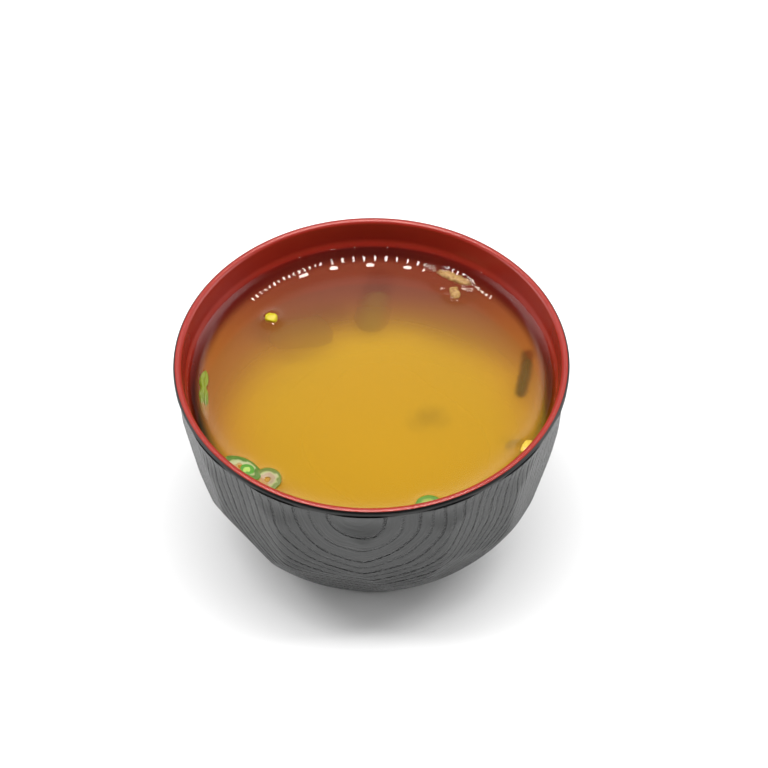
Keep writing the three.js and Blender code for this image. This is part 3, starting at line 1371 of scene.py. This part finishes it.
@dataclass
class Scallions:
    """The floating scallion slices."""

    soup: MisoSoup
    slices: tuple[StalkSlice, ...]
    ring_steps: int = 64
    layer_steps: int = 12
    overlap: float = 1.08
    wobbles: float = 420.0
    wobble: Point = (0.6, 0.6, 0.25)

    def build(self) -> list[bpy.types.Object]:
        """Builds every slice.

        Returns:
            The pieces.
        """
        tree = self.layer_tree()
        return [self.slice(item, tree) for item in self.slices]

    def slice(self, item: StalkSlice, tree: bpy.types.NodeTree) -> bpy.types.Object:
        """Builds one slice with the layer tree, and lays it on the soup.

        Args:
            item: The slice.
            tree: The tree that makes its layers.

        Returns:
            The piece, which stands for the slice's CAD node.
        """
        material = WetVegetable(name=f"wet_{item.node}", stops=item.stops).make()
        piece = new_piece(f"{item.node}_layers", [], [])
        run_tree(piece, tree, {
            "Layers": item.layers, "Outer": item.outer * MM, "Wall": item.wall * MM,
            "Height": item.height * MM, "Stretch": item.stretch, "Seed": item.seed, "Material": material,
        })
        settle(piece)
        lying = item.lying(self.soup.surface(item.radius))
        lying.translation *= MM
        piece.data.transform(lying)
        return hand_over(piece, item.node)

    def layer_tree(self) -> bpy.types.NodeTree:
        """Builds the tree that makes a stalk slice from rings of one layer each.

        Returns:
            The Geometry Nodes tree.
        """
        tree, add, given = new_tree(
            "stalk_layers", ("Outer", "Wall", "Height", "Stretch"), ("Layers", "Seed")
        )
        thickness = add("Math:DIVIDE", (given["Wall"], given["Layers"]))
        index = add("InputIndex")
        half = add("Math:MULTIPLY", (thickness, 0.5))
        inset = add("Math:MULTIPLY_ADD", (index, thickness, half))
        radius = add("Math:SUBTRACT", (given["Outer"], inset))
        rings = add("InstanceOnPoints", {
            "Points": add("Points", {"Count": given["Layers"]}),
            "Instance": add("CurvePrimitiveCircle", {"Resolution": self.ring_steps, "Radius": 1.0}),
            "Scale": add("CombineXYZ", (radius, radius, 1.0)),
        })
        inner = add("Math:MAXIMUM", (add("Math:SUBTRACT", (given["Layers"], 1.0)), 1.0))
        skin = add("Math:SUBTRACT", (1.0, add("Math:DIVIDE", (index, inner))))
        marked = add("StoreNamedAttribute:INSTANCE", {"Geometry": rings, "Name": "skin", "Value": skin})
        swing = tuple(part * MM for part in self.wobble)
        uneven = add_wobble(
            add, add("RealizeInstances", (marked,)), given["Seed"], self.wobbles, 1.0, swing
        )
        thick = add("Math:MULTIPLY", (thickness, self.overlap))
        section = add("Transform", {
            "Geometry": add("CurvePrimitiveCircle", {"Resolution": self.layer_steps, "Radius": 0.5}),
            "Scale": add("CombineXYZ", (given["Height"], thick, 1.0)),
        })
        upright = add("SetCurveNormal", {"Curve": uneven}, mode="Z_UP")
        solid = add("CurveToMesh", {"Curve": upright, "Profile Curve": section})
        drawn = add("Transform", {
            "Geometry": solid, "Scale": add("CombineXYZ", (given["Stretch"], 1.0, 1.0)),
        })
        end_tree(add, given["Material"], add("SetShadeSmooth", {"Geometry": drawn}))
        return tree


@dataclass
class Bits:
    """The small floating bits: lemon-yellow ones and crumbs of fried tofu."""

    soup: MisoSoup
    lumps: tuple[Lump, ...]
    rows: int = 40
    steps: int = 56
    fineness: float = 1.1

    def build(self) -> list[bpy.types.Object]:
        """Builds every bit.

        Returns:
            The pieces.
        """
        finishes = dict.fromkeys(lump.finish for lump in self.lumps)
        materials = {finish: finish.make() for finish in finishes}
        return [self.bit(lump, materials[lump.finish]) for lump in self.lumps]

    def bit(self, lump: Lump, material: bpy.types.Material) -> bpy.types.Object:
        """Builds one bit and lays it on the soup.

        Args:
            lump: The bit.
            material: Its finish.

        Returns:
            The piece, which stands for the bit's CAD node.
        """
        half = Vector(lump.size) / 2.0
        lying = lump.lying(self.soup.surface(lump.radius))
        offset = Vector((lump.seed * 7.3, lump.seed * 3.1, 0.0))

        def place(radius: float, angle: float, height: float) -> Point:
            way = polar(radius, angle, height)
            swell = sum(abs(part) ** lump.power for part in way) ** (1.0 / lump.power)
            point = Vector(part / swell * size for part, size in zip(way, half))
            rough = noise.fractal(point * self.fineness + offset, 1.0, 2.0, 3)
            return tuple(lying @ (point * (1.0 + lump.roughness * rough)))

        rings = [(math.sin(angle), -math.cos(angle)) for angle in evenly(0.0, math.pi, self.rows)]
        rings[0], rings[-1] = (0.0, -1.0), (0.0, 1.0)
        piece = new_piece(f"{lump.node}_flesh", *lathe(rings, self.steps, place))
        return hand_over(piece, lump.node, material)


@dataclass
class ScallionLeaf:
    """A strip of green leaf along the wall, pinched in the middle, with a tail that dips under.

    Start and end are degrees from the front. What runs along the leaf counts from 0 at its start to 1.
    """

    soup: MisoSoup
    node: str = "scallion_leaf"
    radius: float = 49.2
    start: float = -97.0
    end: float = -76.0
    width: float = 2.9
    thickness: float = 1.3
    lift: float = 0.35
    dip: float = 1.8
    dips_from: float = 0.45
    pinch_depth: float = 0.4
    pinch_at: float = 0.36
    pinch_width: float = 0.07
    taper: float = 0.45
    crease: float = 0.35
    crease_width: float = 0.3
    wave: float = 0.25
    waves: float = 9.0
    rows: int = 90
    steps: int = 40
    palest: float = 0.15
    darkens_from: float = 0.35
    stops: Stops = ((0.0, "707A1C"), (0.5, "5A6A1E"), (1.0, "38361A"))

    def build(self) -> bpy.types.Object:
        """Builds the leaf.

        Returns:
            The piece, which stands for the CAD node scallion_leaf.
        """
        rings = [
            ((max(0.0, 1.0 - (2.0 * along - 1.0) ** 4)) ** 0.5, along)
            for along in ((1.0 - math.cos(angle)) / 2.0 for angle in evenly(0.0, math.pi, self.rows))
        ]
        rings[0], rings[-1] = (0.0, 0.0), (0.0, 1.0)
        vertices, faces = lathe(rings, self.steps, self.place)
        piece = new_piece("scallion_leaf_blade", vertices, faces)
        mark(piece, "skin", self.shade(vertices))
        material = WetVegetable(name="wet_scallion_leaf", stops=self.stops).make()
        return hand_over(piece, self.node, material)

    def place(self, size: float, angle: float, along: float) -> Point:
        """Gives a point of the leaf's skin.

        Args:
            size: The size of its section there, from 0 to 1.
            angle: Where round the section it is, in radians.
            along: How far along the leaf it is.

        Returns:
            The point.
        """
        across, up = math.cos(angle), math.sin(angle)
        waist = 1.0 - self.pinch_depth * math.exp(-(((along - self.pinch_at) / self.pinch_width) ** 2))
        body = size * waist * (1.0 - self.taper * along**3)
        crease = self.crease * math.exp(-((across / self.crease_width) ** 2)) if up > 0 else 0.0
        high = up * self.thickness / 2.0 * body * (1.0 - crease)
        sunk = self.dip * smoothstep(self.dips_from, 1.0, along)
        wave = self.wave * noise.noise(Vector((along * self.waves, 2.0 * across, 0.0)))
        turn = math.radians(self.start + (self.end - self.start) * along)
        height = self.soup.surface(self.radius) + self.lift - sunk + high + wave
        return polar(self.radius - across * self.width / 2.0 * body, turn, height)

    def shade(self, vertices: Sequence[Point]) -> list[float]:
        """Gives each point's place from the bright end (0) to the dark tail (1).

        Args:
            vertices: The points.

        Returns:
            Their places.
        """
        turns = (math.degrees(math.atan2(x, -y)) for x, y, _ in vertices)
        places = ((turn - self.start) / (self.end - self.start) for turn in turns)
        darker = 1.0 - self.palest
        return [self.palest + darker * smoothstep(self.darkens_from, 1.0, place) for place in places]


@dataclass(frozen=True)
class Ribbon:
    """One sunk strip of seaweed: where its middle line runs, how wide it is, how solid it looks through
    the miso, what share of the surface's veil covers it, and its two greens."""

    name: str
    path: tuple[Point, ...]
    width: float
    seed: int
    opacity: float
    veil: float
    greens: tuple[str, str] = ("141E08", "26300E")

    def clearing(self) -> Clearing:
        """Gives the place over the strip where the surface's veil is thin."""
        return Clearing(tuple((x, y) for x, y, _ in self.path), self.width / 2.0, self.veil)


@dataclass
class SunkStrips:
    """Strips of seaweed that hang in the broth, under the surface."""

    soup: MisoSoup
    ribbons: tuple[Ribbon, ...]
    thickness: float = 0.35
    ripple: float = 1.1
    ripples: float = 260.0
    line_steps: int = 60
    section_steps: int = 20
    blunt: float = 4.0
    end_size: float = 1.02
    end_share: float = 1.3
    end_fade: float = 0.25

    def build(self) -> list[bpy.types.Object]:
        """Builds every strip.

        Returns:
            The pieces.
        """
        tree = self.ribbon_tree()
        return [self.strip(ribbon, tree) for ribbon in self.ribbons]

    def strip(self, ribbon: Ribbon, tree: bpy.types.NodeTree) -> bpy.types.Object:
        """Builds one strip along its middle line.

        Args:
            ribbon: The strip. Its points' third number is the depth under the level.
            tree: The tree that widens the line to a strip.

        Returns:
            The piece.
        """
        line = [(x, y, self.soup.level - depth) for x, y, depth in ribbon.path]
        piece = new_piece(ribbon.name, line, [], [(k, k + 1) for k in range(len(line) - 1)])
        material = SunkLeaf(name=f"soaked_{ribbon.name}", tones=ribbon.greens, opacity=ribbon.opacity).make()
        run_tree(piece, tree, {
            "Width": ribbon.width * MM, "Thickness": self.thickness * MM, "Ripple": self.ripple * MM,
            "Seed": ribbon.seed, "Material": material,
        })
        settle(piece)
        return hand_over(piece)

    def ribbon_tree(self) -> bpy.types.NodeTree:
        """Builds the tree that turns a line into a thin, rippled strip with tapered ends.

        Returns:
            The Geometry Nodes tree.
        """
        tree, add, given = new_tree("soaked_strip", ("Width", "Thickness", "Ripple"), ("Seed",))
        line = add("MeshToCurve", {"Mesh": given["Geometry"]})
        smooth = add("CurveSplineType", {"Curve": line}, spline_type="CATMULL_ROM")
        even = add("ResampleCurve", {"Curve": smooth, "Count": self.line_steps})
        doubled = add("Math:MULTIPLY_ADD", (add("SplineParameter", take="Factor"), 2.0, -1.0))
        left = add("Math:SUBTRACT", (self.end_size, add("Math:POWER", (doubled, self.blunt))))
        taper = add("Math:SQRT", (left,))
        sized = add("SetCurveRadius", {"Curve": even, "Radius": taper})
        ends = add("Math:MULTIPLY", (taper, self.end_share))
        inner = add("Math:SUBTRACT", (ends, self.end_fade), use_clamp=True)
        marked_line = add("StoreNamedAttribute", {"Geometry": sized, "Name": "inner", "Value": inner})
        aside = add("Math:ABSOLUTE", (add("SeparateXYZ", (add("InputPosition"),), "X"),))
        marked_oval = add("StoreNamedAttribute", {
            "Geometry": add("CurvePrimitiveCircle", {"Resolution": self.section_steps, "Radius": 0.5}),
            "Name": "across", "Value": add("Math:MULTIPLY_ADD", (aside, -2.0, 1.0)),
        })
        section = add("Transform", {
            "Geometry": marked_oval, "Scale": add("CombineXYZ", (given["Width"], given["Thickness"], 1.0)),
        })
        strip = add("CurveToMesh", {
            "Curve": marked_line, "Profile Curve": section, "Scale": taper, "Fill Caps": True,
        })
        kept = [
            add("InputNamedAttribute:FLOAT", {"Name": name}, "Attribute") for name in ("across", "inner")
        ]
        shaded = add("StoreNamedAttribute", {
            "Geometry": strip, "Name": "body", "Value": add("Math:MULTIPLY", kept),
        })
        rippled = add_wobble(add, shaded, given["Seed"], self.ripples, 2.0, given["Ripple"])
        end_tree(add, given["Material"], add("SetShadeSmooth", {"Geometry": rippled}))
        return tree


# The studio


@dataclass(frozen=True)
class Glint:
    """A patch of the wetted edge that shows one lamp: its azimuth from the back, its distance from the
    wall, its width in degrees and its depth in millimetres."""

    azimuth: float
    gap: float
    wide: float
    deep: float
    is_round: bool = False


@dataclass
class Studio:
    """A white table in a white tent that is open at the front, a long soft panel and small lamps
    overhead, and the camera. The tent's side walls are its brightest.

    Where a wall fades to the ceiling is given in degrees above the horizon, and where one wall fades
    to the next by how far the way points to the back, from -1 at the front to 1.
    """

    soup: MisoSoup
    target: Point
    distance: float = 900.0
    elevation: float = 48.32
    roll: float = -0.659
    focal_px: float = 3105.87
    frame_px: float = 768.0
    centre_px: tuple[float, float] = (371.284, 358.527)
    sensor: float = 36.0
    clip_end: float = 20.0
    side_light: float = 3.9
    back_light: float = 2.5
    back_low_light: float = 0.45
    front_light: float = 0.12
    ceiling_light: float = 0.25
    side_top: tuple[float, float] = (30.0, 48.0)
    back_top: tuple[float, float] = (44.0, 52.0)
    back_low_top: tuple[float, float] = (34.0, 44.0)
    front_to_side: tuple[float, float] = (-0.55, -0.05)
    side_to_back: tuple[float, float] = (0.15, 0.65)
    panel_power: float = 57.0
    panel_size: tuple[float, float] = (3.0, 0.5)
    panel_place: Point = (0.0, -60.0, 1600.0)
    lamp_height: float = 1500.0
    table_half: float = 4000.0

    def build(self) -> None:
        """Builds the studio."""
        bpy.context.scene.view_settings.view_transform = "Standard"
        self.tent()
        self.table()
        self.panel()
        self.lamps()
        self.camera()

    def tent(self) -> None:
        """Lights the scene from the tent's white walls, less from its ceiling and its open front."""
        world = bpy.data.worlds.new("white_tent")
        world.use_nodes = True
        world.node_tree.nodes.clear()
        add = partial(add_node, world.node_tree)
        way = add("TexCoord", take="Generated")
        up = add("SeparateXYZ", (way,), "Z")
        compass = add("VectorMath:NORMALIZE", (add("VectorMath:MULTIPLY", (way, FLAT)),))
        back = add("SeparateXYZ", (compass,), "Y")
        sides = add(FADE, (back, *self.front_to_side, self.front_light, self.side_light))
        backward = add(FADE, (back, *self.side_to_back))
        side_top, back_top, rear_top = (
            [math.sin(math.radians(degrees)) for degrees in ends]
            for ends in (self.side_top, self.back_top, self.back_low_top)
        )
        low, high = (
            add("Mix:FLOAT", {0: backward, 2: side, 3: behind}) for side, behind in zip(side_top, back_top)
        )
        rear = add(FADE, (up, *rear_top, self.back_low_light, self.back_light))
        walls = add("Mix:FLOAT", {0: backward, 2: sides, 3: rear})
        above = add(FADE, (up, low, high))
        light = add("Mix:FLOAT", {0: above, 2: walls, 3: self.ceiling_light})
        glow = add("Background", {"Color": hex_colour("FFFFFF"), "Strength": light})
        add("OutputWorld", {"Surface": glow})
        bpy.context.scene.world = world

    def table(self) -> None:
        """Makes the white table that the bowl stands on."""
        half = self.table_half
        corners = [(-half, -half, 0.0), (half, -half, 0.0), (half, half, 0.0), (-half, half, 0.0)]
        floor = new_piece("white_table", corners, [[0, 1, 2, 3]])
        floor.data.materials.append(WhiteLaminate().make())

    def panel(self) -> None:
        """Hangs the soft panel over the bowl."""
        data = bpy.data.lights.new("soft_panel", "AREA")
        data.shape = "RECTANGLE"
        data.size, data.size_y = self.panel_size
        data.energy = self.panel_power
        panel = bpy.data.objects.new("soft_panel", data)
        panel.location = Vector(self.panel_place) * MM
        panel.visible_glossy = False
        bpy.context.scene.collection.objects.link(panel)

    def eye(self) -> tuple[Vector, Vector]:
        """Gives the camera's place in millimetres and the way from the target back to it."""
        elevation = math.radians(self.elevation)
        back = Vector((0.0, -math.cos(elevation), math.sin(elevation)))
        return Vector(self.target) + back * self.distance, back

    def mirrored(self, azimuth: float, gap: float) -> Point:
        """Follows the camera's view of a point of the wetted edge on to the height of the lamps.

        Args:
            azimuth: The point's azimuth from the back, in degrees.
            gap: Its distance from where the soup meets the wall.

        Returns:
            The place where a lamp shows in that point.
        """
        radius = self.soup.edge() - gap
        outward = Vector((math.sin(math.radians(azimuth)), math.cos(math.radians(azimuth)), 0.0))
        up = Vector((0.0, 0.0, 1.0))
        height = self.soup.surface(radius)
        slope = (height - self.soup.level) / self.soup.reach
        point = outward * radius + up * height
        normal = (up - outward * slope).normalized()
        sight = (point - self.eye()[0]).normalized()
        bounced = sight - 2.0 * sight.dot(normal) * normal
        place = point + bounced * ((self.lamp_height - height) / bounced.z)
        return (place.x, place.y, self.lamp_height)

    def glints(self) -> list[Glint]:
        """Lists where the lamps show: a row of nine, a close row at each side, and five round ones."""
        row = [Glint(-13.2 + 3.73 * k, 3.2, 0.72, 1.5) for k in range(9)]
        sides = [
            Glint(azimuth, gap, 0.62, 0.95)
            for ends in ((-17.2, -45.4), (19.4, 46.4))
            for azimuth, gap in zip(evenly(*ends, 14), evenly(3.1, 4.4, 14))
        ]
        discs = [
            Glint(azimuth, gap, wide, 1.35, is_round=True)
            for azimuth, gap, wide in (
                (-24.2, 5.1, 3.6), (-13.1, 5.3, 3.3), (0.0, 5.4, 3.0), (13.4, 5.3, 3.1), (20.6, 5.1, 1.3),
            )
        ]
        return row + sides + discs

    def lamp(self, glint: Glint) -> Shape:
        """Gives the outline of the lamp that shows in a patch.

        Args:
            glint: The patch.

        Returns:
            Its vertices and its one face.
        """
        if glint.is_round:
            rim = [(math.sin(a) / 2.0, math.cos(a) / 2.0) for a in evenly(0.0, TURN, 20)[:-1]]
        else:
            steps = evenly(-0.5, 0.5, 6)
            rim = [(0.5, step) for step in steps] + [(-0.5, -step) for step in steps]
        points = [self.mirrored(glint.azimuth + glint.wide * a, glint.gap + glint.deep * b) for a, b in rim]
        return points, [list(range(len(rim)))]

    def lamps(self) -> None:
        """Hangs the small lamps that the soup mirrors at its far edge."""
        lamps = new_piece("small_lamps", *merge(self.lamp(glint) for glint in self.glints()))
        lamps.data.materials.append(LampGlow().make())
        lamps.visible_camera = False
        lamps.visible_diffuse = False
        lamps.visible_shadow = False

    def camera(self) -> None:
        """Places the camera."""
        data = bpy.data.cameras.new("camera")
        data.sensor_width = self.sensor
        data.lens = self.focal_px / self.frame_px * self.sensor
        data.shift_x = (self.frame_px / 2.0 - self.centre_px[0]) / self.frame_px
        data.shift_y = (self.centre_px[1] - self.frame_px / 2.0) / self.frame_px
        data.clip_end = self.clip_end
        camera = bpy.data.objects.new("camera", data)
        bpy.context.scene.collection.objects.link(camera)
        place, back = self.eye()
        right = Vector((1.0, 0.0, 0.0))
        basis = Matrix((right, back.cross(right), back)).transposed().to_4x4()
        turn = Matrix.Rotation(math.radians(self.roll), 4, "Z")
        camera.matrix_world = Matrix.Translation(place * MM) @ basis @ turn
        bpy.context.scene.camera = camera


# Assembly

SLICES = (
    StalkSlice(
        node="scallion_slice_oblique", outer=2.7, wall=0.85, height=2.2, stretch=1.75, turn=-38.0, tilt=-6.0,
        radius=48.4, azimuth=-50.3, lift=0.25, layers=4, seed=3,
        stops=((0.0, "9AA070"), (0.62, "8E985E"), (0.8, "6E8A34"), (1.0, "426216")),
    ),
    StalkSlice(
        node="scallion_curl", outer=1.3, wall=0.6, height=1.9, stretch=1.1, turn=-38.0, tilt=0.0,
        radius=48.0, azimuth=-48.5, lift=0.35, layers=2, seed=8, slot="scallion_green",
        stops=((0.0, "8FB04E"), (0.5, "64962C"), (1.0, "3F7A18")),
    ),
    StalkSlice(
        node="scallion_ring_left", outer=3.0, wall=1.15, height=2.3, stretch=1.05, turn=-55.0, tilt=5.0,
        radius=46.3, azimuth=-40.5, lift=0.3, layers=4, seed=5,
        # The tan-brown of its innermost layer is painted shade, the dark inside the ring's hole.
        stops=((0.0, "8E7A5C"), (0.5, "989A6C"), (0.75, "7C8C3C"), (1.0, "526218")),
    ),
    StalkSlice(
        node="scallion_ring_front", outer=2.8, wall=1.1, height=2.0, stretch=1.05, turn=12.0, tilt=0.0,
        radius=48.0, azimuth=19.1, lift=0.2, layers=3, seed=11, slot="scallion_green",
        stops=((0.0, "75862A"), (0.5, "5E8424"), (1.0, "456E1A")),
    ),
)
LEMON_PETAL = WetVegetable("wet_yellow_petal", ((0.0, "AA9C14"), (0.5, "9C8E10"), (1.0, "86780C")))
YELLOW_KERNEL = WetVegetable("wet_yellow_kernel", ((0.0, "C0A638"), (0.5, "B2962A"), (1.0, "987818")))
LUMPS = (
    Lump(
        node="yellow_bit_left", size=(3.7, 3.0, 1.9), power=3.4, turn=-14.0, tilt=6.0, radius=40.3,
        azimuth=-132.5, lift=0.25, roughness=0.12, seed=1, finish=LEMON_PETAL,
    ),
    Lump(
        node="yellow_bit_right", size=(5.0, 3.0, 1.8), power=2.6, turn=60.0, tilt=4.0, radius=51.0,
        azimuth=60.7, lift=0.3, roughness=0.12, seed=2, finish=YELLOW_KERNEL,
    ),
    Lump(
        node="fried_tofu_sliver", size=(10.5, 2.8, 1.8), power=2.8, turn=-30.0, tilt=0.0, radius=49.6,
        azimuth=149.5, lift=-0.1, roughness=0.24, seed=3, finish=FriedTofuCrumb(), slot="fried_tofu",
    ),
    Lump(
        node="fried_tofu_bit", size=(2.9, 4.6, 1.8), power=2.8, turn=14.0, tilt=0.0, radius=44.6,
        azimuth=145.4, lift=0.1, roughness=0.14, seed=4, finish=FriedTofuCrumb(), slot="fried_tofu",
    ),
)
STRIPS = (
    Ribbon("seaweed_right", ((46.2, 11.6, 1.6), (45.2, 4.6, 1.2), (43.4, -3.4, 1.8)), 4.4, 2, 0.98, 0.4),
    Ribbon(
        "seaweed_far_left", ((-30.0, 22.0, 5.0), (-25.0, 24.5, 3.2), (-18.0, 25.5, 3.4), (-12.0, 28.0, 5.0)),
        13.0, 5, 0.34, 0.86, ("3A3A0C", "4A4812"),
    ),
    Ribbon(
        "seaweed_far_middle", ((-1.0, 25.5, 4.5), (0.5, 31.0, 3.2), (1.5, 37.0, 3.4), (3.0, 43.0, 5.0)),
        10.5, 7, 0.42, 0.8, ("4A4A10", "5A5818"),
    ),
    Ribbon("seaweed_middle", ((10.0, -12.0, 3.6), (17.0, -9.5, 2.2), (23.0, -11.0, 3.6)), 9.5, 9, 0.13, 1.0),
    Ribbon(
        "seaweed_near_right", ((45.0, -20.5, 2.4), (41.5, -21.0, 2.0), (38.0, -21.5, 3.0)), 3.6, 12, 0.6, 0.8,
        ("4A4408", "5A5210"),
    ),
)


def main() -> None:
    """Builds the bowl, the soup, what floats and what is sunk, and the studio."""
    logging.basicConfig(level=logging.INFO, format="%(name)s: %(message)s")
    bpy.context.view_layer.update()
    bowl = FacetedBowl()
    soup = MisoSoup(
        bowl=bowl, wetting=tuple(item.footprint() for item in (*SLICES, *LUMPS)),
        clearings=tuple(ribbon.clearing() for ribbon in STRIPS),
    )
    pieces = [bowl.build(), *soup.build()]
    pieces += Scallions(soup, SLICES).build()
    pieces.append(ScallionLeaf(soup).build())
    pieces += Bits(soup, LUMPS).build()
    pieces += SunkStrips(soup, STRIPS).build()
    for piece in pieces:
        piece.data.calc_loop_triangles()
        LOG.info("%s: %d triangles", piece.name, len(piece.data.loop_triangles))
    Studio(soup, (0.0, 0.0, bowl.height)).build()


if __name__ == "__main__":
    main()
